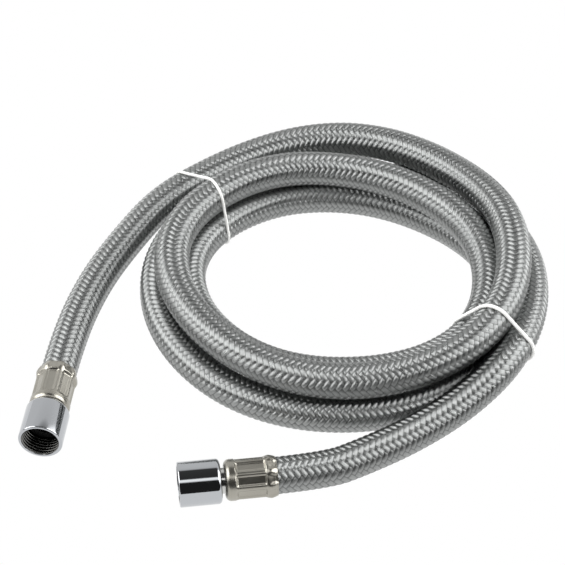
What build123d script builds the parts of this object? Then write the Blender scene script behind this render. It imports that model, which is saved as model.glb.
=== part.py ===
from build123d import *
import math
import os

os.makedirs("parts", exist_ok=True)

# A braided water hose, about 2.3 m long, coiled on the floor and tied in two places, with a
# swivel nut on a crimped ferrule at each end. Millimetres, +Z up, the floor at z = 0, the origin
# under the middle of the whole bundle. The turns run clockwise seen from above.

# ---- Hose ----
hose_diameter = 18.3        # over the wire braid
liner_diameter = 16.0       # the soft tube under the braid
liner_bore = 12.7           # half-inch waterway
hose_radius = hose_diameter / 2

# ---- Coil ----
coil_x = 30.2               # middle of the coil, from the origin
coil_y = 25.4
station_step = 45           # degrees of turn from one station to the next
point_step = 15             # degrees of turn from one point of the hose's line to the next
coil_start = 30             # the hose joins the bundle here, by the first tie
coil_end = 1305             # and leaves it here, by the second, three turns and a half later
# Distance of the hose's line from the middle at each station, one row for each turn.
coil_radii = [
    133, 109.8, 101, 89.8, 89.6, 98.2, 94.8, 94,
    94, 76.5, 64.3, 63.7, 76.2, 86.2, 77.8, 82.2,
    85.8, 72.5, 62.5, 66.8, 84.8, 99.2, 99.8, 103,
    102.7, 91.5, 81.3, 88.7, 98.3, 113.8, 134,
]
coil_heights = [
    11, 14, 23, 30, 41, 38, 29, 30,
    33, 34, 31, 30, 28, 24, 16, 15,
    16, 14, 13, 11, 11.6, 11.6, 9.4, 9.4,
    11.6, 11.6, 10, 12, 23, 26, 14,
]

# ---- Fittings, along their own axis from the hose's end of the ferrule ----
fitting_height = 11.5       # the nuts lie on the floor
ferrule_length = 26.5
ferrule_radius = 10.6
ferrule_flat = 9.95         # from the axis to each of the flats that the crimping jaws leave
ferrule_jaws = 8
crimp_start = 7.0
crimp_end = 21.5
ferrule_dome = 2.2          # rounding of the ferrule's closed end
hose_depth = 22.0           # how far the hose goes into the ferrule
stem_start = 1.5            # the insert's barbed stem, inside the liner
stem_groove = 0.45          # depth of each step between two barbs
stem_barbs = 5
collar_radius = 7.0         # where the ferrule's closed end grips the insert
neck_radius = 6.6
flange_start = 32.3
flange_length = 2.7
flange_radius = 8.9
waterway_radius = 4.6
washer_length = 2.0
washer_radius = 8.9
nut_length = 21.5
nut_radius = 11.5
nut_wall = 3.0              # the nut's closed end, which bears on the flange
nut_running_clearance = 0.08
slip_ring_length = 1.0
slip_ring_radius = 8.8
nut_edge = 0.9              # chamfer round the mouth
nut_shoulder = 1.6          # rounding at the closed end
nut_a_back = 26.7           # nut a rests back against its ferrule
nut_b_back = 28.3           # nut b rests forward against its flange

# ---- Thread in the nuts, G 1/2 ----
thread_major = 20.955 / 2
thread_minor = 18.631 / 2
thread_pitch = 1.814
thread_crest = 0.30         # flat left at the minor diameter
thread_turns = 6

# ---- Ties ----
tie_diameter = 1.6          # plastic-covered wire
tie_a_inner = (-65.2, 30.6)     # where each tie's plane cuts the floor, from the coil's middle
tie_a_outer = (-93.3, 76.1)
tie_b_inner = (57.4, -51.5)
tie_b_outer = (94.0, -69.0)

# Where each ferrule's hose end lies, from the coil's middle, and the way its nut's mouth faces.
fitting_a = (-151.2, -72.0, 262.7)
fitting_b = (-36.7, -142.2, 187.0)
# The hose between a fitting and the coil, from the coil's middle, with heights over the floor.
tail_a = [(-136.5, -4, 10.2), (-119.3, 31, 10.6)]
tail_b = [(58, -101, 19), (32, -117.7, 14.5), (7, -130.2, 12)]
straight_out = 24           # the hose leaves a ferrule straight for this far


def station_value(values, angle):
    """The smooth curve through the stations, read at any angle of turn."""
    place = angle / station_step
    i = min(int(place), len(values) - 2)
    t = place - i
    before = values[max(i - 1, 0)]
    here = values[i]
    there = values[i + 1]
    after = values[min(i + 2, len(values) - 1)]
    bend = 2 * before - 5 * here + 4 * there - after
    twist = 3 * (here - there) + after - before
    return here + 0.5 * t * (there - before + t * (bend + t * twist))


def coil_point(angle):
    """The hose's centre at an angle of turn, counted clockwise from the left."""
    radius = station_value(coil_radii, angle)
    height = max(station_value(coil_heights, angle), hose_radius)
    x = coil_x - radius * math.cos(math.radians(angle))
    y = coil_y + radius * math.sin(math.radians(angle))
    return (x, y, height)


def coil_points():
    return [coil_point(a) for a in range(coil_start, coil_end + 1, point_step)]


def beside_coil(point):
    return (coil_x + point[0], coil_y + point[1], point[2])


def fitting_plane(fitting):
    """A plane at the ferrule's hose end, with its normal towards the nut's mouth."""
    x, y, heading = fitting
    way = (math.cos(math.radians(heading)), math.sin(math.radians(heading)), 0)
    return Plane(origin=(coil_x + x, coil_y + y, fitting_height), x_dir=(0, 0, 1), z_dir=way)


def along(fitting, distance):
    """A point on the fitting's axis, as a plain tuple."""
    point = fitting_plane(fitting).from_local_coords(Vector(0, 0, distance))
    return (point.X, point.Y, point.Z)


def place(shape, fitting):
    return fitting_plane(fitting).location * shape


def turned(outline):
    """A solid of revolution about Z from an outline of (radius, distance) points."""
    face = make_face(Polyline(*[(r, 0, u) for r, u in outline], close=True))
    return revolve(face, Axis.Z, 360)


# ---- Fitting pieces ----
def nut(back):
    """The swivel nut: a closed end that turns on the insert's neck, and a threaded mouth."""
    front = back + nut_length
    hole = neck_radius + nut_running_clearance
    outline = [(hole, back), (nut_radius, back), (nut_radius, front - nut_edge)]
    outline += [(nut_radius - nut_edge, front), (thread_major, front)]
    flank = (thread_pitch - thread_crest) / 2
    for i in range(thread_turns):
        u = front - flank - i * thread_pitch
        outline.append((thread_minor, u))
        outline.append((thread_minor, u - thread_crest))
        outline.append((thread_major, u - thread_crest - flank))
    outline += [(thread_major, back + nut_wall), (hole, back + nut_wall)]
    body = turned(outline)
    rear = body.edges().filter_by(GeomType.CIRCLE).filter_by(
        lambda e: abs(e.radius - nut_radius) < 0.01 and abs(e.center().Z - back) < 0.01)
    return fillet(rear, nut_shoulder)


def slip_ring(back):
    """The nylon ring between the nut's closed end and the flange."""
    hole = neck_radius + nut_running_clearance
    u = back + nut_wall
    end = u + slip_ring_length
    return turned([(hole, u), (slip_ring_radius, u), (slip_ring_radius, end), (hole, end)])


def insert():
    """The brass insert: barbed stem, collar, neck and flange, bored through."""
    stem = liner_bore / 2
    collar_start = hose_depth
    barb = (collar_start - 1 - stem_start) / stem_barbs
    outline = [(waterway_radius, stem_start)]
    for i in range(stem_barbs):
        u = stem_start + i * barb
        outline += [(stem - stem_groove, u), (stem, u + barb * 0.85), (stem, u + barb)]
    outline += [(stem, collar_start), (collar_radius, collar_start)]
    outline += [(collar_radius, ferrule_length), (neck_radius, ferrule_length)]
    flange_end = flange_start + flange_length
    outline += [(neck_radius, flange_start), (flange_radius, flange_start)]
    outline += [(flange_radius, flange_end), (waterway_radius, flange_end)]
    return turned(outline)


def washer():
    """The rubber sealing washer on the flange's face."""
    u = flange_start + flange_length
    end = u + washer_length
    inner = waterway_radius + 0.6
    return turned([(inner, u), (washer_radius, u), (washer_radius, end), (inner, end)])


def ferrule():
    """The steel sleeve crimped over the hose: a flared rim, eight flats and a domed end."""
    outline = [(hose_radius, 0), (ferrule_radius, 0), (ferrule_radius, ferrule_length)]
    outline += [(collar_radius, ferrule_length), (collar_radius, hose_depth), (hose_radius, hose_depth)]
    sleeve = turned(outline)
    end = sleeve.edges().filter_by(GeomType.CIRCLE).filter_by(
        lambda e: abs(e.radius - ferrule_radius) < 0.01 and e.center().Z > ferrule_length - 1)
    sleeve = fillet(end, ferrule_dome)
    crimp = crimp_end - crimp_start
    ring = Cylinder(ferrule_radius + 1, crimp)
    prism = extrude(RegularPolygon(ferrule_flat, ferrule_jaws, major_radius=False), crimp / 2, both=True)
    return sleeve - Pos(0, 0, crimp_start + crimp / 2) * (ring - prism)


# ---- Hose pieces ----
def corner_radii(points):
    """The largest radius that each corner's two runs allow."""
    radii = []
    for a, b, c in zip(points, points[1:], points[2:]):
        first = Vector(b) - Vector(a)
        second = Vector(c) - Vector(b)
        half = math.radians(first.get_angle(second)) / 2
        shorter = min(first.length, second.length)
        radii.append(0.45 * shorter / math.tan(half))
    return radii


def tube(name, points, outer, inner):
    """A hollow tube along straight runs joined by tangent arcs."""
    radii = corner_radii(points)
    path = FilletPolyline(*points, radius=radii)
    start = Plane(origin=points[0], z_dir=Vector(points[1]) - Vector(points[0]))
    section = start * (Circle(outer / 2) - Circle(inner / 2))
    solid = sweep(section, path=path)
    expected = math.pi / 4 * (outer ** 2 - inner ** 2) * path.length
    print(name, "length", round(path.length, 1), "tightest radius", round(min(radii), 1))
    print(name, "volume over section times length", round(solid.volume / expected, 4))
    return solid


def tail_a_points():
    inside = along(fitting_a, hose_depth)
    outside = along(fitting_a, -straight_out)
    return [inside, outside] + [beside_coil(p) for p in tail_a] + [coil_point(coil_start)]


def tail_b_points():
    inside = along(fitting_b, hose_depth)
    outside = along(fitting_b, -straight_out)
    return [coil_point(coil_end)] + [beside_coil(p) for p in tail_b] + [outside, inside]


def outline_round(circles, radius, sides):
    """The polygon of so many sides that just holds all the circles, as (across, up) points."""
    support = []
    for i in range(sides):
        angle = 2 * math.pi * i / sides
        reach = max(x * math.cos(angle) + z * math.sin(angle) for x, z in circles)
        support.append((angle, reach + radius))
    corners = []
    for (a, p), (b, q) in zip(support, support[1:] + support[:1]):
        turn = math.sin(b - a)
        x = (p * math.sin(b) - q * math.sin(a)) / turn
        z = (q * math.cos(a) - p * math.cos(b)) / turn
        corners.append((x, z))
    return corners


def coil_section(angle, sides):
    """The outline round every turn that passes this angle."""
    circles = []
    while angle <= coil_end:
        if angle >= coil_start:
            x, y, z = coil_point(angle)
            circles.append((math.hypot(x - coil_x, y - coil_y), z))
        angle += 360
    return outline_round(circles, hose_radius, sides)


def hose_coil():
    """The bundle of turns as one closed ring of its outer shape."""
    sides = 8
    rings = []
    for angle in range(0, 360, point_step):
        cosine = math.cos(math.radians(angle))
        sine = math.sin(math.radians(angle))
        section = coil_section(angle, sides)
        rings.append([(coil_x - r * cosine, coil_y + r * sine, z) for r, z in section])
    faces = []
    for ring, after in zip(rings, rings[1:] + rings[:1]):
        for i in range(sides):
            j = (i + 1) % sides
            faces.append(Face(Wire.make_polygon([ring[i], ring[j], after[j]])))
            faces.append(Face(Wire.make_polygon([ring[i], after[j], after[i]])))
    solid = Solid(Shell(faces))
    print("coil volume", round(solid.volume), "valid", solid.is_valid)
    return solid


def tie(inner, outer):
    """A loop of covered wire round the turns that cross the upright plane through two points."""
    across = Vector(outer[0] - inner[0], outer[1] - inner[1], 0).normalized()
    origin = Vector(coil_x + inner[0], coil_y + inner[1], 0)
    normal = across.cross(Vector(0, 0, 1))
    circles = []
    line = [Vector(p) for p in coil_points()]
    for a, b in zip(line, line[1:]):
        da = (a - origin).dot(normal)
        db = (b - origin).dot(normal)
        if da * db > 0 or (a - origin).length > 80:
            continue
        hit = a + (b - a) * (da / (da - db))
        circles.append(((hit - origin).dot(across), hit.Z))
    corners = outline_round(circles, hose_radius + tie_diameter / 2, 16)
    loop = Polyline(*[origin + across * x + Vector(0, 0, z) for x, z in corners], close=True)
    print("tie round", len(circles), "strands, lowest", round(min(z for x, z in corners), 2))
    start = Plane(origin=loop @ 0, z_dir=loop % 0)
    return sweep(start * Circle(tie_diameter / 2), path=loop, transition=Transition.ROUND)


nodes = {
    "hose_coil": hose_coil(),
    "braid_tail_a": tube("braid_tail_a", tail_a_points(), hose_diameter, liner_diameter),
    "liner_tail_a": tube("liner_tail_a", tail_a_points(), liner_diameter, liner_bore),
    "braid_tail_b": tube("braid_tail_b", tail_b_points(), hose_diameter, liner_diameter),
    "liner_tail_b": tube("liner_tail_b", tail_b_points(), liner_diameter, liner_bore),
    "tie_a": tie(tie_a_inner, tie_a_outer),
    "tie_b": tie(tie_b_inner, tie_b_outer),
}
for letter, fitting, back in (("a", fitting_a, nut_a_back), ("b", fitting_b, nut_b_back)):
    nodes["nut_" + letter] = place(nut(back), fitting)
    nodes["slip_ring_" + letter] = place(slip_ring(back), fitting)
    nodes["insert_" + letter] = place(insert(), fitting)
    nodes["washer_" + letter] = place(washer(), fitting)
    nodes["ferrule_" + letter] = place(ferrule(), fitting)

for name, shape in nodes.items():
    export_step(shape, f"parts/{name}.step")

whole = Compound(children=list(nodes.values())).bounding_box()
print("whole", whole.min, whole.max)
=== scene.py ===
import math

import bpy
import numpy as np
from mathutils import Matrix, Vector


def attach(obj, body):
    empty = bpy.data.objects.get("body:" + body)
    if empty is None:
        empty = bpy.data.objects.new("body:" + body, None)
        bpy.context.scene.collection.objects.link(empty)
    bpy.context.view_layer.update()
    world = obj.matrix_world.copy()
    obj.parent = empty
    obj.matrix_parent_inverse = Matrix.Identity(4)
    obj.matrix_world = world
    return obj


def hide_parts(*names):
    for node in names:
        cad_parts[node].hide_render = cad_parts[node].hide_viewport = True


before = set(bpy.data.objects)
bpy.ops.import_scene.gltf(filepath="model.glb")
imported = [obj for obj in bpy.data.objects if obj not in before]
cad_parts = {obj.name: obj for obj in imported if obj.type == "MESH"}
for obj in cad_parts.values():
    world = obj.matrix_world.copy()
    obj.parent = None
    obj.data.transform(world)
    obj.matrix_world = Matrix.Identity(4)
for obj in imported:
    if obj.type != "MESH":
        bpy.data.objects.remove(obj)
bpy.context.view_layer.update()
MM = 0.001

# ---- The hose's route: a row of stations for each turn, millimetres ----
coil_x = 30.2
coil_y = 25.4
station_step = 45           # degrees of turn from one station to the next
point_step = 15             # degrees of turn from one point of the spline to the next
coil_start = 30
coil_end = 1305
coil_radii = [
    133, 109.8, 100.5, 89.8, 89.6, 98.2, 94.8, 94,
    94, 76.5, 64.3, 63.7, 76.2, 86.2, 77.8, 82.2,
    85.8, 72.5, 62.5, 66.8, 84.8, 99.2, 99.8, 103,
    102.7, 91.8, 82.8, 89.2, 98.3, 113.8, 134,
]
coil_heights = [
    11, 14, 23, 30, 41, 38, 29, 30,
    33, 34, 31, 30, 28, 24, 16, 15,
    16, 14, 13, 11, 11.6, 11.6, 9.4, 9.4,
    11.6, 11.6, 10, 12, 23, 26, 14,
]
tail_a = [(-136.5, -4, 10.2), (-119.3, 31, 10.6)]
tail_b = [(58, -101, 19), (32, -117.7, 14.5), (7, -130.2, 12)]
straight_out = 24           # how far the hose runs straight out of each ferrule
route_steps = 14            # places read between two points of the spline
hose_start = 14             # how far the hose runs into each ferrule

# ---- Sizes shared with the frame, millimetres ----
hose_radius = 9.15
fitting_height = 11.5
fitting_a = (-151.2, -72.0, 262.7)
fitting_b = (-36.7, -142.2, 187.0)
ferrule_length = 26.5
nut_length = 21.5
nut_a_back = 26.7
nut_b_back = 28.3
thread_major = 20.955 / 2
thread_minor = 18.631 / 2
thread_pitch = 1.814
tie_a_radius = 0.8
tie_b_radius = 1.0
tie_pull = 0.5              # how far a tie is pulled into the braid
tie_a_twist = -20           # where round the turns each tie's ends are twisted, degrees
tie_b_twist = 200
twist_length = 15
twist_turns = 3.5
tie_a_line = ((-65.2, 30.6), (-93.3, 76.1))
tie_b_line = ((57.4, -51.5), (94.0, -69.0))


# ---------------------------------------------------------------- route
def station_value(values, angle):
    """The smooth curve through the stations, read at any angle of turn."""
    place = angle / station_step
    i = min(int(place), len(values) - 2)
    t = place - i
    before = values[max(i - 1, 0)]
    here = values[i]
    there = values[i + 1]
    after = values[min(i + 2, len(values) - 1)]
    bend = 2 * before - 5 * here + 4 * there - after
    twist = 3 * (here - there) + after - before
    return here + 0.5 * t * (there - before + t * (bend + t * twist))


def coil_point(angle):
    """The hose's centre at an angle of turn, counted clockwise from the left."""
    radius = station_value(coil_radii, angle)
    height = max(station_value(coil_heights, angle), hose_radius)
    x = coil_x - radius * math.cos(math.radians(angle))
    y = coil_y + radius * math.sin(math.radians(angle))
    return Vector((x, y, height)) * MM


def beside_coil(point):
    return Vector((coil_x + point[0], coil_y + point[1], point[2])) * MM


def fitting_matrix(fitting):
    """Local Z runs along the fitting towards the nut's mouth, from the ferrule's hose end."""
    x, y, heading = fitting
    way = Vector((math.cos(math.radians(heading)), math.sin(math.radians(heading)), 0))
    up = Vector((0, 0, 1))
    turn = Matrix((up, way.cross(up), way)).transposed().to_4x4()
    return Matrix.Translation(beside_coil((x, y, fitting_height))) @ turn


def along(fitting, distance):
    return fitting_matrix(fitting) @ Vector((0, 0, distance * MM))


def route_points():
    points = [along(fitting_a, hose_start), along(fitting_a, -straight_out)]
    points += [beside_coil(p) for p in tail_a]
    points += [coil_point(a) for a in range(coil_start, coil_end + 1, point_step)]
    points += [beside_coil(p) for p in tail_b]
    points += [along(fitting_b, -straight_out), along(fitting_b, hose_start)]
    return points


def nurbs_line(points, steps):
    """Points read from the smooth NURBS spline that has these control points."""
    curve = bpy.data.curves.new("route", "CURVE")
    curve.dimensions = "3D"
    spline = curve.splines.new("NURBS")
    spline.points.add(len(points) - 1)
    for cp, p in zip(spline.points, points):
        cp.co = (*p, 1)
    spline.order_u = 3
    spline.use_endpoint_u = True
    spline.resolution_u = steps
    holder = bpy.data.objects.new("route", curve)
    bpy.context.scene.collection.objects.link(holder)
    bpy.context.view_layer.update()
    shaped = holder.evaluated_get(bpy.context.evaluated_depsgraph_get())
    mesh = bpy.data.meshes.new_from_object(shaped)
    line = np.array([v.co[:] for v in mesh.vertices])
    bpy.data.objects.remove(holder)
    bpy.data.curves.remove(curve)
    bpy.data.meshes.remove(mesh)
    return line


def lengths_along(line):
    return np.concatenate([[0], np.cumsum(np.linalg.norm(np.diff(line, axis=0), axis=1))])


def unit(v):
    return v / np.linalg.norm(v, axis=-1, keepdims=True)


def carried_frames(line):
    """Two directions across the line at each point, carried along it without twist."""
    tangent = unit(np.gradient(line, axis=0))
    across = np.zeros_like(line)
    side = np.array((0.0, 0.0, 1.0))
    for i, t in enumerate(tangent):
        side = side - (side @ t) * t
        side = side / np.linalg.norm(side)
        across[i] = side
    return across, np.cross(tangent, across)


def read_at(stations, values, places):
    return np.stack([np.interp(places, stations, values[:, k]) for k in range(3)], axis=1)


# ---------------------------------------------------------------- mesh helpers
def new_piece(name, vertices, faces, mat):
    mesh = bpy.data.meshes.new(name)
    mesh.from_pydata([tuple(v) for v in vertices], [], [tuple(f) for f in faces])
    mesh.validate()
    mesh.polygons.foreach_set("use_smooth", [True] * len(mesh.polygons))
    mesh.materials.append(mat)
    obj = bpy.data.objects.new(name, mesh)
    bpy.context.scene.collection.objects.link(obj)
    return obj


def grid_faces(rows, columns, wrap_rows=False):
    """Quads of a grid whose columns close on themselves."""
    faces = []
    for r in range(rows if wrap_rows else rows - 1):
        s = (r + 1) % rows
        for c in range(columns):
            d = (c + 1) % columns
            faces.append((r * columns + c, r * columns + d, s * columns + d, s * columns + c))
    return faces


def tube_mesh(line, radius, sides, closed=False):
    """Vertices and faces of a round tube along a line, capped unless it is closed."""
    line = np.array(line)
    if closed:
        ring_line = np.vstack([line[-1:], line, line[:1]])
        across, over = carried_frames(ring_line)
        across = across[1:-1]
        over = over[1:-1]
    else:
        across, over = carried_frames(line)
    turn = np.linspace(0, 2 * math.pi, sides, endpoint=False)
    rings = (
        line[:, None]
        + radius * np.cos(turn)[None, :, None] * across[:, None]
        + radius * np.sin(turn)[None, :, None] * over[:, None]
    )
    faces = grid_faces(len(line), sides, wrap_rows=closed)
    if not closed:
        last = (len(line) - 1) * sides
        faces.append(tuple(range(sides - 1, -1, -1)))
        faces.append(tuple(range(last, last + sides)))
    return rings.reshape(-1, 3), faces


def join(*parts):
    vertices = []
    faces = []
    for v, f in parts:
        base = len(vertices)
        vertices += [tuple(p) for p in v]
        faces += [tuple(base + i for i in face) for face in f]
    return vertices, faces


# ---------------------------------------------------------------- materials
def material(name):
    mat = bpy.data.materials.new(name)
    mat.use_nodes = True
    nodes = mat.node_tree.nodes
    links = mat.node_tree.links
    return mat, nodes, links, nodes["Principled BSDF"]


def noise(nodes, links, scale, detail):
    tex = nodes.new("ShaderNodeTexNoise")
    tex.inputs["Scale"].default_value = scale
    tex.inputs["Detail"].default_value = detail
    coord = nodes.new("ShaderNodeTexCoord")
    links.new(coord.outputs["Object"], tex.inputs["Vector"])
    return tex


def ramp(nodes, links, source, low, high, at=(0.0, 1.0)):
    """Runs from low to high; each is a colour, or one value in a tuple."""
    r = nodes.new("ShaderNodeValToRGB")
    for element, place, value in zip(r.color_ramp.elements, at, (low, high)):
        element.position = place
        element.color = (*value, 1) if len(value) == 3 else (value[0],) * 3 + (1,)
    links.new(source, r.inputs["Fac"])
    return r


def bump(nodes, links, source, shader, strength, distance):
    b = nodes.new("ShaderNodeBump")
    b.inputs["Strength"].default_value = strength
    b.inputs["Distance"].default_value = distance
    links.new(source, b.inputs["Height"])
    links.new(b.outputs["Normal"], shader.inputs["Normal"])


def chrome_material():
    mat, nodes, links, shader = material("nut_chrome")
    shader.inputs["Metallic"].default_value = 1.0
    shader.inputs["Base Color"].default_value = (0.50, 0.515, 0.535, 1)
    haze = noise(nodes, links, 90, 2)
    rough = ramp(nodes, links, haze.outputs["Fac"], (0.05,), (0.09,), (0.35, 0.7))
    links.new(rough.outputs["Color"], shader.inputs["Roughness"])
    return mat


def bore_material():
    """The cut thread: dark for its thin plating, and darker still as painted shade for the poor
    light in the bore.
    """
    mat, nodes, links, shader = material("nut_bore")
    shader.inputs["Metallic"].default_value = 1.0
    tone = noise(nodes, links, 200, 2)
    # Dark colours for the thread: thin plating, plus painted shade for the recess.
    low = (0.16, 0.16, 0.155)
    high = (0.22, 0.22, 0.21)
    colour = ramp(nodes, links, tone.outputs["Fac"], low, high, (0.35, 0.65))
    links.new(colour.outputs["Color"], shader.inputs["Base Color"])
    shader.inputs["Roughness"].default_value = 0.22
    return mat


def ferrule_material():
    mat, nodes, links, shader = material("ferrule_steel")
    shader.inputs["Metallic"].default_value = 1.0
    tone = noise(nodes, links, 60, 2)
    low = (0.37, 0.355, 0.31)
    high = (0.42, 0.405, 0.36)
    colour = ramp(nodes, links, tone.outputs["Fac"], low, high, (0.3, 0.7))
    links.new(colour.outputs["Color"], shader.inputs["Base Color"])
    rough = ramp(nodes, links, tone.outputs["Fac"], (0.28,), (0.34,), (0.3, 0.75))
    links.new(rough.outputs["Color"], shader.inputs["Roughness"])
    grain = noise(nodes, links, 700, 2)
    bump(nodes, links, grain.outputs["Fac"], shader, 0.05, 0.0002)
    return mat


def braid_material():
    """Bundles of fine plated wires, with painted shade in the valleys between them: U of the map
    runs across a bundle and V along it.
    """
    mat, nodes, links, shader = material("braid_wire")
    shader.inputs["Metallic"].default_value = 1.0
    tone = nodes.new("ShaderNodeAttribute")
    tone.attribute_name = "tone"
    low = (0.298, 0.306, 0.302)
    high = (0.322, 0.33, 0.326)
    colour = ramp(nodes, links, tone.outputs["Fac"], low, high)
    # Painted shade: the colour is darkened down to half in the low valleys of the weave, read from
    # its height.
    height = nodes.new("ShaderNodeAttribute")
    height.attribute_name = "height"
    valley_shade = ramp(nodes, links, height.outputs["Fac"], (0.5,), (1.0,), (0.0, 0.5))
    shade = nodes.new("ShaderNodeMix")
    shade.data_type = "RGBA"
    shade.blend_type = "MULTIPLY"
    shade.inputs["Factor"].default_value = 1.0
    links.new(colour.outputs["Color"], shade.inputs["A"])
    links.new(valley_shade.outputs["Color"], shade.inputs["B"])
    links.new(shade.outputs["Result"], shader.inputs["Base Color"])
    rough = ramp(nodes, links, tone.outputs["Fac"], (0.27,), (0.31,))
    links.new(rough.outputs["Color"], shader.inputs["Roughness"])
    uv = nodes.new("ShaderNodeUVMap")
    uv.uv_map = "strand"
    wave = nodes.new("ShaderNodeTexWave")
    wave.wave_type = "BANDS"
    wave.bands_direction = "X"
    wave.wave_profile = "SIN"
    wave.inputs["Scale"].default_value = 1.0
    wave.inputs["Distortion"].default_value = 0.0
    links.new(uv.outputs["UV"], wave.inputs["Vector"])
    bump(nodes, links, wave.outputs["Fac"], shader, 0.5, 0.00012)
    return mat


def plastic_material(name, low, high, roughness):
    mat, nodes, links, shader = material(name)
    tone = noise(nodes, links, 220, 3)
    colour = ramp(nodes, links, tone.outputs["Fac"], low, high, (0.35, 0.65))
    links.new(colour.outputs["Color"], shader.inputs["Base Color"])
    shader.inputs["Roughness"].default_value = roughness
    fine = noise(nodes, links, 1800, 2)
    bump(nodes, links, fine.outputs["Fac"], shader, 0.08, 0.0001)
    return mat


def plated_material():
    mat, nodes, links, shader = material("insert_plated")
    shader.inputs["Metallic"].default_value = 1.0
    tone = noise(nodes, links, 300, 3)
    low = (0.52, 0.52, 0.51)
    high = (0.60, 0.60, 0.58)
    colour = ramp(nodes, links, tone.outputs["Fac"], low, high, (0.35, 0.65))
    links.new(colour.outputs["Color"], shader.inputs["Base Color"])
    shader.inputs["Roughness"].default_value = 0.16
    return mat


# ---------------------------------------------------------------- hose
braid_strands = 12          # bundles of wire each way round
braid_lay = 3.32            # along the hose from one bundle to the next
braid_cuts = 5              # mesh steps across a bundle
braid_valley = 8.98         # radius at the gaps between bundles
braid_crest = 9.5           # radius at the crown of a bundle
bundle_round = 0.6          # a lower power makes a bundle flatter across its crown
float_level = 2.8           # a higher power keeps a float level nearer to its ends
wires_in_bundle = 7
wave_turn = 20              # radians that the wave texture runs through in one unit
hose_squeeze = 0.1          # share of its radius that the hose loses inside a ferrule
squeeze_run = 6             # how far inside the ferrule it takes to do so


def braid_pattern(u, v):
    """The woven surface at mesh place (u, v): its height from 0 to 1, which way the bundle on top
    winds, and the numbers of the two bundles that cross there.

    u counts across the bundles that wind one way and v across the others. Each bundle goes over
    two and under two, so its visible floats are two bundles long and lie in rows along the hose.
    """
    a = u / braid_cuts
    b = v / braid_cuts
    i = np.floor(a)
    j = np.floor(b)
    order = np.mod(i + j, 4)
    first_up = order < 2
    late = np.mod(order, 2)
    across = np.where(first_up, a - i, b - j)
    ahead = np.where(first_up, b - j, a - i) - 1 + late
    crown = np.clip(1 - (2 * across - 1) ** 2, 0, 1) ** bundle_round
    rise = np.clip(1 - np.abs(ahead) ** float_level, 0, 1) ** bundle_round
    return crown * rise, first_up, i, j


def hose_mesh(line):
    """The woven surface: rings of points, each turned half a step from the last."""
    length = lengths_along(line)
    total = length[-1]
    rings = int(total / (braid_lay * MM) * 2 * braid_cuts) // 2 * 2
    n = np.arange(rings + 1)
    places = n * total / rings
    across, over = carried_frames(line)
    centre = read_at(length, line, places)
    across = unit(read_at(length, across, places))
    over = unit(read_at(length, over, places))
    count = braid_strands * braid_cuts
    m = 2 * np.arange(count)[None, :] + np.mod(n, 2)[:, None]
    u = (m - n[:, None]) // 2
    v = (m + n[:, None]) // 2
    height = braid_pattern(u, v)[0]
    from_end = np.minimum(places, total - places) / MM
    squeeze = np.clip((hose_start - from_end) / squeeze_run, 0, 1)
    radius = (braid_valley + (braid_crest - braid_valley) * height) * MM
    radius = radius * (1 - hose_squeeze * squeeze)[:, None]
    turn = 2 * math.pi * m / (2 * count)
    points = centre[:, None] + radius[..., None] * (
        np.cos(turn)[..., None] * across[:, None] + np.sin(turn)[..., None] * over[:, None]
    )
    return points.reshape(-1, 3), height.ravel(), rings, count


def hose_faces(rings, count):
    """Diamonds between three rings, which are half a step apart round the hose."""
    n = np.arange(rings - 1)[:, None]
    c = np.arange(count)[None, :]
    odd = np.mod(n, 2)
    left = (c - 1 + odd) % count
    right = (c + odd) % count
    low = n * count + c
    high = (n + 2) * count + c
    diamonds = np.stack([low, (n + 1) * count + right, high, (n + 1) * count + left], axis=-1)
    return diamonds.reshape(-1, 4)


def make_hose(line, mat):
    """The braid's quads, a row of triangles at each end, and the two flat ends."""
    points, height, rings, count = hose_mesh(line)
    quads = hose_faces(rings, count)
    c = np.arange(count)
    low_end = np.stack([c, (c + 1) % count, count + c], axis=-1)
    top = rings * count
    under = top - count
    high_end = np.stack([top + (c + 1) % count, top + c, under + c], axis=-1)
    mesh = bpy.data.meshes.new("braided_hose")
    loops = np.concatenate([quads.ravel(), low_end.ravel(), high_end.ravel(), c[::-1], top + c])
    corners = (len(quads), 4), (len(low_end), 3), (len(high_end), 3), (2, count)
    sizes = np.concatenate([np.full(number, size) for number, size in corners])
    starts = np.concatenate([[0], np.cumsum(sizes)[:-1]])
    mesh.vertices.add(len(points))
    mesh.vertices.foreach_set("co", points.ravel())
    mesh.loops.add(len(loops))
    mesh.loops.foreach_set("vertex_index", loops.astype(np.int32))
    mesh.polygons.add(len(sizes))
    mesh.polygons.foreach_set("loop_start", starts.astype(np.int32))
    mesh.update(calc_edges=True)
    mesh.validate()
    mesh.polygons.foreach_set("use_smooth", np.ones(len(mesh.polygons), bool))
    strand_map(mesh, quads, rings, count)
    # The weave's height, which the braid material also uses to paint shade into the valleys.
    level = mesh.attributes.new("height", "FLOAT", "POINT")
    level.data.foreach_set("value", height.astype(np.float32))
    mesh.materials.append(mat)
    obj = bpy.data.objects.new("braided_hose", mesh)
    bpy.context.scene.collection.objects.link(obj)
    return obj


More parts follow.
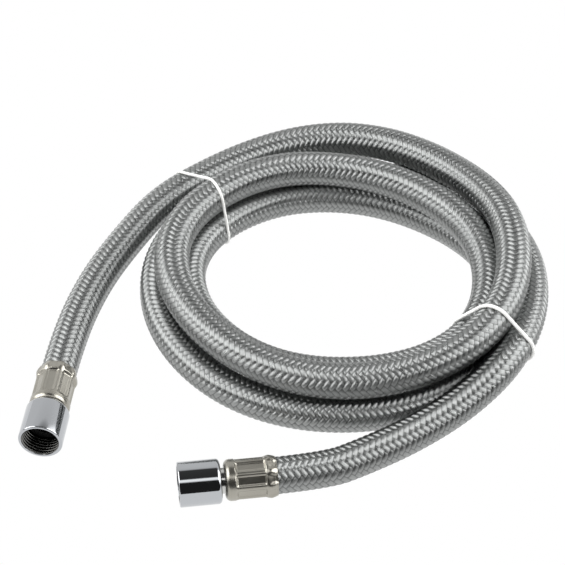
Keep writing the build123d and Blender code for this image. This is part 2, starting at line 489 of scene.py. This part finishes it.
def strand_map(mesh, quads, rings, count):
    """A map with U across each bundle and V along it, and a tone for each float."""
    n = np.repeat(np.arange(rings - 1), count)
    c = np.tile(np.arange(count), rings - 1)
    m = 2 * c + np.mod(n, 2)
    mid_u = (m - n) // 2 - 0.5
    mid_v = (m + n) // 2 + 0.5
    _, first_up, i, j = braid_pattern(mid_u, mid_v)
    corner_u = mid_u[:, None] + np.array([0.5, 0.5, -0.5, -0.5])
    corner_v = mid_v[:, None] + np.array([-0.5, 0.5, 0.5, -0.5])
    a = corner_u / braid_cuts
    b = corner_v / braid_cuts
    uv = np.zeros((len(mesh.loops), 2), np.float32)
    wires = wires_in_bundle * 2 * math.pi / wave_turn
    first = first_up[:, None]
    in_a = a - i[:, None]
    in_b = b - j[:, None]
    uv[: quads.size, 0] = (np.where(first, in_a, in_b) * wires).ravel()
    uv[: quads.size, 1] = (np.where(first, in_b, in_a) * wires).ravel()
    layer = mesh.uv_layers.new(name="strand")
    layer.data.foreach_set("uv", uv.ravel())
    order = np.mod(i + j, 4)
    start_i = np.where(first_up, i, i - (order == 3))
    start_j = np.where(first_up, j - (order == 1), j)
    scatter = np.sin(start_i * 12.9898 + start_j * 78.233) * 43758.5453
    tone = np.full(len(mesh.polygons), 0.5, np.float32)
    tone[: len(quads)] = np.mod(scatter, 1.0)
    mesh.attributes.new("tone", "FLOAT", "FACE").data.foreach_set("value", tone)


# ---------------------------------------------------------------- fittings
def lathe(outline, sides, radius_at):
    """A ring-shaped solid from a closed outline of (radius, distance) points, millimetres."""
    vertices = []
    for k, (r, u) in enumerate(outline):
        for c in range(sides):
            turn = 2 * math.pi * c / sides
            reach = radius_at(k, r, u, turn)
            vertices.append((reach * math.cos(turn) * MM, reach * math.sin(turn) * MM, u * MM))
    return vertices, grid_faces(len(outline), sides, wrap_rows=True)


def arc(centre_r, centre_u, radius, start, end, steps):
    """Outline points on an arc, by angles in degrees from the radial direction."""
    points = []
    for k in range(steps + 1):
        turn = math.radians(start + (end - start) * k / steps)
        points.append((centre_r + radius * math.cos(turn), centre_u + radius * math.sin(turn)))
    return points


def placed(name, solid, fitting, mat):
    vertices, faces = solid
    matrix = fitting_matrix(fitting)
    return new_piece(name, [matrix @ Vector(v) for v in vertices], faces, mat)


def smooth_step(x, low, high):
    t = min(max((x - low) / (high - low), 0), 1)
    return t * t * (3 - 2 * t)


ferrule_radius = 10.6
ferrule_dome = 3.0          # radius of the rounded end beside the nut
jaws = 8
crimp_turn_a = 3            # degrees that the jaws were turned round each ferrule
crimp_turn_b = 42
crimp_start = 5.4           # the pressed flats, from the hose end
crimp_end = 21.6
flat_radius = 9.32          # from the axis to the middle of a flat
ridge_sink = 0.22           # how far the ridges between the flats go in with them
petal_rise = 0.55           # how far each ridge swells by the hose end
petal_middle = 3.6
petal_spread = 1.6
mouth_turn_in = 0.5
mouth_notch = 0.8           # how far each notch at the hose end is pressed in
mouth_least = 9.56          # the wall is never pressed further in than this


def ferrule_surface(u, turn):
    """Outer radius of the crimped sleeve at a distance along it and an angle round it."""
    pitch = 2 * math.pi / jaws
    off = abs((turn + pitch / 2) % pitch - pitch / 2)
    flat = flat_radius / math.cos(min(off, 0.33))
    into = smooth_step(u, crimp_start, crimp_start + 1.2)
    out_of = smooth_step(u, crimp_end - 1.8, crimp_end)
    pressed = into * (1 - out_of)
    side = 1 - smooth_step(off, 0.17, 0.36)
    ridge = ferrule_radius - ridge_sink * pressed
    petal = petal_rise * math.exp(-((u - petal_middle) / petal_spread) ** 2) * (1 - side)
    mouth = -mouth_turn_in * (1 - smooth_step(u, 0.0, 2.0))
    notch_side = 1 - smooth_step(off, 0.10, 0.30)
    notch = -mouth_notch * notch_side * (1 - smooth_step(u, 1.5, crimp_start))
    radius = ridge + petal + mouth + notch - pressed * side * (ridge - flat)
    return max(radius, mouth_least if u < 4 else 0)


def ferrule_solid(crimp_turn):
    sides = 240
    steps = 90
    inside = [(8.45, 7.0), (9.3, 4.0), (9.3, 0.25), (9.5, 0.0)]
    first = 0.12
    last = ferrule_length - ferrule_dome
    barrel = [(ferrule_radius, first + (last - first) * k / steps) for k in range(steps + 1)]
    dome = arc(ferrule_radius - ferrule_dome, last, ferrule_dome, 6, 90, 14)
    hole = [(7.0, ferrule_length), (7.0, ferrule_length - 1.0)]

    def radius_at(k, r, u, turn):
        on_barrel = len(inside) <= k < len(inside) + len(barrel)
        return ferrule_surface(u, turn - crimp_turn) if on_barrel else r

    return lathe(inside + barrel + dome + hole, sides, radius_at)


nut_radius = 11.5
nut_edge = 0.7
nut_shoulder = 2.0
nut_wall = 3.0              # the closed end, which turns on the insert's neck
nut_hole = 6.9
thread_depth = 11.0
thread_lead = 0.5           # from the mouth to the first of the thread


def thread_radius(below, turn):
    """Radius of the right-hand inside thread, at a distance below the nut's mouth."""
    phase = (-below / thread_pitch - turn / (2 * math.pi)) % 1.0
    groove = 1 - abs(2 * phase - 1)
    lead_in = smooth_step(below, 0.0, 0.7)
    fade = smooth_step(thread_lead + thread_depth - below, 0.0, 1.2)
    crest = thread_minor + (thread_major - thread_minor) * (1 - lead_in * fade) * 0.8
    return crest + (thread_major - crest) * smooth_step(groove, 0.12, 0.95)


def nut_solid(back):
    """The plated nut: its vertices and faces, and which of the faces are inside it."""
    sides = 160
    steps = 96
    front = back + nut_length
    outside = [(nut_hole, back + nut_wall), (nut_hole, back)]
    outside += arc(nut_radius - nut_shoulder, back + nut_shoulder, nut_shoulder, -90, 0, 10)
    outside += arc(nut_radius - nut_edge, front - nut_edge, nut_edge, 0, 90, 6)
    lip = [(thread_minor + 0.9, front), (thread_minor + 0.45, front - 0.25)]
    first = front - thread_lead
    thread = [(thread_minor, first - thread_depth * k / steps) for k in range(steps + 1)]
    well = [(thread_major, first - thread_depth - 0.3), (thread_major, back + nut_wall)]
    thread_start = len(outside) + len(lip)

    def radius_at(k, r, u, turn):
        if thread_start <= k < thread_start + len(thread):
            return thread_radius(front - u, turn)
        return r

    vertices, faces = lathe(outside + lip + thread + well, sides, radius_at)
    return vertices, faces, range((len(outside) + 1) * sides, len(faces))


# ---------------------------------------------------------------- ties
def strands_crossing(line, inner, outer):
    """Where the hose's line crosses the upright plane through two points: (across, up)."""
    origin = beside_coil((*inner, 0))
    across = (beside_coil((*outer, 0)) - origin).normalized()
    normal = across.cross(Vector((0, 0, 1)))
    hits = []
    for p, q in zip(line[:-1], line[1:]):
        a = (Vector(p) - origin).dot(normal)
        b = (Vector(q) - origin).dot(normal)
        if a * b > 0 or (Vector(p) - origin).length > 80 * MM:
            continue
        hit = Vector(p).lerp(Vector(q), a / (a - b))
        hits.append(((hit - origin).dot(across), hit.z))
    return origin, across, hits


def taut_loop(hits, radius, steps):
    """Points of a band pulled tight round circles, as (across, up)."""
    loop = []
    for k in range(steps):
        turn = 2 * math.pi * k / steps
        way = (math.cos(turn), math.sin(turn))
        best = max(hits, key=lambda h: h[0] * way[0] + h[1] * way[1])
        loop.append((best[0] + radius * way[0], best[1] + radius * way[1]))
    return loop


def twisted_ends(foot, tail, outward, tie_radius):
    """The two ends of the wire, wound round each other away from the loop."""
    side = tail.cross(outward).normalized()
    other = tail.cross(side)
    steps = 60
    ends = []
    for sign in (1, -1):
        coil = []
        for k in range(steps + 1):
            t = k / steps
            turn = t * twist_turns * 2 * math.pi
            reach = tie_radius * MM * sign * min(1, 0.3 + 3 * t)
            around = side * math.cos(turn) + other * math.sin(turn)
            coil.append(foot + tail * (t * twist_length * MM) + around * reach)
        ends.append(tube_mesh(coil, tie_radius * MM * 0.96, 12))
    return ends


def make_tie(name, line, plan, tie_radius, twist_at, mat):
    origin, across, hits = strands_crossing(line, *plan)
    up = Vector((0, 0, 1))
    radius = (braid_crest + tie_radius - tie_pull) * MM
    loop = taut_loop(hits, radius, 144)
    points = [origin + across * x + up * z for x, z in loop]
    ring = tube_mesh(points, tie_radius * MM, 14, closed=True)
    way = (math.cos(math.radians(twist_at)), math.sin(math.radians(twist_at)))
    best = max(hits, key=lambda h: h[0] * way[0] + h[1] * way[1])
    foot = origin + across * (best[0] + radius * way[0]) + up * (best[1] + radius * way[1])
    outward = across * way[0] + up * way[1]
    tail = outward * 0.35 + across.cross(up) * 0.9
    tail.normalize()
    vertices, faces = join(ring, *twisted_ends(foot, tail, outward, tie_radius))
    return new_piece(name, vertices, faces, mat)


# ---------------------------------------------------------------- surroundings
band_low = -40              # degrees from the front horizon, up and over to the back
band_high = 140
bands = (
    (-5, 0.02), (55, 0.02), (61, 1.5), (69, 1.5),
    (73, 0.04), (119, 0.06), (126, 0.72), (139.9, 0.8),
)
side_light = 4.3
dark_board = (0.03, 0.03, 0.035, 1)


def edge(nodes, links, source, low, high):
    """Rises smoothly from 0 at low to 1 at high."""
    step = nodes.new("ShaderNodeMapRange")
    step.interpolation_type = "SMOOTHSTEP"
    step.inputs["From Min"].default_value = low
    step.inputs["From Max"].default_value = high
    links.new(source, step.inputs["Value"])
    return step.outputs["Result"]


def calculated(nodes, links, operation, *sources):
    node = nodes.new("ShaderNodeMath")
    node.operation = operation
    for slot, source in zip(node.inputs, sources):
        if isinstance(source, (int, float)):
            slot.default_value = source
        else:
            links.new(source, slot)
    return node.outputs[0]


def product(nodes, links, first, *others):
    for other in others:
        first = calculated(nodes, links, "MULTIPLY", first, other)
    return first


def covered(nodes, links, under, mask, colour):
    """The surroundings with one more thing in front of them."""
    mix = nodes.new("ShaderNodeMix")
    mix.data_type = "RGBA"
    links.new(mask, mix.inputs["Factor"])
    links.new(under, mix.inputs["A"])
    mix.inputs["B"].default_value = colour
    return mix.outputs["Result"]


def banded_sky(nodes, links, split):
    """Brightness by the angle from the front horizon, up and over to the back."""
    towards = calculated(nodes, links, "MULTIPLY", split.outputs["Y"], -1)
    tilt = calculated(nodes, links, "ARCTAN2", split.outputs["Z"], towards)
    scaled = nodes.new("ShaderNodeMapRange")
    scaled.inputs["From Min"].default_value = math.radians(band_low)
    scaled.inputs["From Max"].default_value = math.radians(band_high)
    links.new(tilt, scaled.inputs["Value"])
    sky = nodes.new("ShaderNodeValToRGB")
    elements = sky.color_ramp.elements
    while len(elements) < len(bands):
        elements.new(0.5)
    for element, (degrees, value) in zip(elements, bands):
        element.position = (degrees - band_low) / (band_high - band_low)
        element.color = (value, value, value, 1)
    links.new(scaled.outputs["Result"], sky.inputs["Fac"])
    return sky.outputs["Color"]


def make_world():
    """A bright band in front, dark overhead, light behind, a light at each side and a dark board."""
    world = bpy.data.worlds.new("studio")
    bpy.context.scene.world = world
    world.use_nodes = True
    nodes = world.node_tree.nodes
    links = world.node_tree.links
    coord = nodes.new("ShaderNodeTexCoord")
    split = nodes.new("ShaderNodeSeparateXYZ")
    links.new(coord.outputs["Generated"], split.inputs["Vector"])
    x, y, z = split.outputs
    sky = banded_sky(nodes, links, split)
    beside = edge(nodes, links, calculated(nodes, links, "ABSOLUTE", x), 0.40, 0.55)
    above = edge(nodes, links, z, 0.12, 0.25)
    near = edge(nodes, links, y, 0.50, 0.38)
    ahead = edge(nodes, links, y, -0.45, -0.25)
    lights = product(nodes, links, beside, above, near, ahead)
    lit = covered(nodes, links, sky, lights, (side_light, side_light, side_light, 1))
    right = edge(nodes, links, x, 0.50, 0.56)
    low = edge(nodes, links, z, 0.30, 0.24)
    behind = edge(nodes, links, y, 0.42, 0.50)
    board = product(nodes, links, right, low, behind)
    links.new(covered(nodes, links, lit, board, dark_board), nodes["Background"].inputs["Color"])
    nodes["Background"].inputs["Strength"].default_value = 1.0


def make_floor():
    """A white floor that gives off its own light, half a millimetre under the hose."""
    size = 6.0
    corners = [(-size, -size, 0), (size, -size, 0), (size, size, 0), (-size, size, 0)]
    mesh = bpy.data.meshes.new("floor")
    mesh.from_pydata(corners, [], [(0, 1, 2, 3)])
    floor = bpy.data.objects.new("floor", mesh)
    bpy.context.scene.collection.objects.link(floor)
    floor.location.z = -0.0005
    mat = bpy.data.materials.new("white_floor")
    mat.use_nodes = True
    nodes = mat.node_tree.nodes
    nodes.remove(nodes["Principled BSDF"])
    glow = nodes.new("ShaderNodeEmission")
    glow.inputs["Color"].default_value = (1, 1, 1, 1)
    glow.inputs["Strength"].default_value = 1.0
    mat.node_tree.links.new(glow.outputs[0], nodes["Material Output"].inputs["Surface"])
    mesh.materials.append(mat)


def make_sun():
    """Daylight for what is dull: the plated pieces mirror the surroundings alone."""
    sun = bpy.data.lights.new("sun", "SUN")
    sun.energy = 1.5
    sun.angle = math.radians(30)
    holder = bpy.data.objects.new("sun", sun)
    bpy.context.scene.collection.objects.link(holder)
    holder.rotation_euler = (math.radians(25), math.radians(-15), 0)
    holder.visible_glossy = False


def make_camera():
    """Above the front, 45 degrees down, far enough for the near side to look little larger."""
    down = math.radians(45)
    distance = 1.320
    target = Vector((-3.6, 32.05, 0)) * MM
    cam = bpy.data.cameras.new("camera")
    cam.sensor_width = 36
    cam.lens = 152.9
    holder = bpy.data.objects.new("camera", cam)
    bpy.context.scene.collection.objects.link(holder)
    holder.location = target + Vector((0, -math.cos(down), math.sin(down))) * distance
    holder.rotation_euler = (math.pi / 2 - down, 0, 0)
    bpy.context.scene.camera = holder


make_camera()
make_world()
make_floor()
make_sun()
bpy.context.scene.view_settings.view_transform = "Standard"

chrome = chrome_material()
steel = ferrule_material()
braid = braid_material()
white = plastic_material("tie_white", (0.86, 0.86, 0.84), (0.93, 0.93, 0.91), 0.32)
plated = plated_material()
dark = bore_material()
rubber = plastic_material("washer_rubber", (0.012, 0.012, 0.012), (0.03, 0.03, 0.03), 0.6)
nylon = plastic_material("slip_ring_nylon", (0.74, 0.74, 0.70), (0.86, 0.86, 0.82), 0.45)

line = nurbs_line(route_points(), route_steps)
hose = make_hose(line, braid)
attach(hose, "hose")
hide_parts("hose_coil", "braid_tail_a", "braid_tail_b", "liner_tail_a", "liner_tail_b")


def make_end(letter, fitting, back, crimp_turn):
    """The crimped ferrule and the nut of one end, and the looks of the pieces inside them."""
    solid = ferrule_solid(math.radians(crimp_turn))
    sleeve = placed("crimped_ferrule_" + letter, solid, fitting, steel)
    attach(sleeve, "hose")
    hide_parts("ferrule_" + letter)
    vertices, faces, bore = nut_solid(back)
    nut = placed("swivel_nut_" + letter, (vertices, faces), fitting, chrome)
    nut.data.materials.append(dark)
    for i in bore:
        nut.data.polygons[i].material_index = 1
    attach(nut, "nut_" + letter + "_shell")
    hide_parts("nut_" + letter)
    for node, mat in (("insert_", plated), ("washer_", rubber), ("slip_ring_", nylon)):
        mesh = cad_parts[node + letter].data
        mesh.materials.clear()
        mesh.materials.append(mat)
    return [sleeve, nut]


make_end("a", fitting_a, nut_a_back, crimp_turn_a)
end_b = make_end("b", fitting_b, nut_b_back, crimp_turn_b)
end_b += [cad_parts[n] for n in ("insert_b", "washer_b", "slip_ring_b")]

ties = (
    ("tie_a", tie_a_line, tie_a_radius, tie_a_twist),
    ("tie_b", tie_b_line, tie_b_radius, tie_b_twist),
)
for name, plan, wire_radius, twist_at in ties:
    loop = make_tie("wire_" + name, line, plan, wire_radius, twist_at, white)
    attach(loop, "hose")
    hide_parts(name)
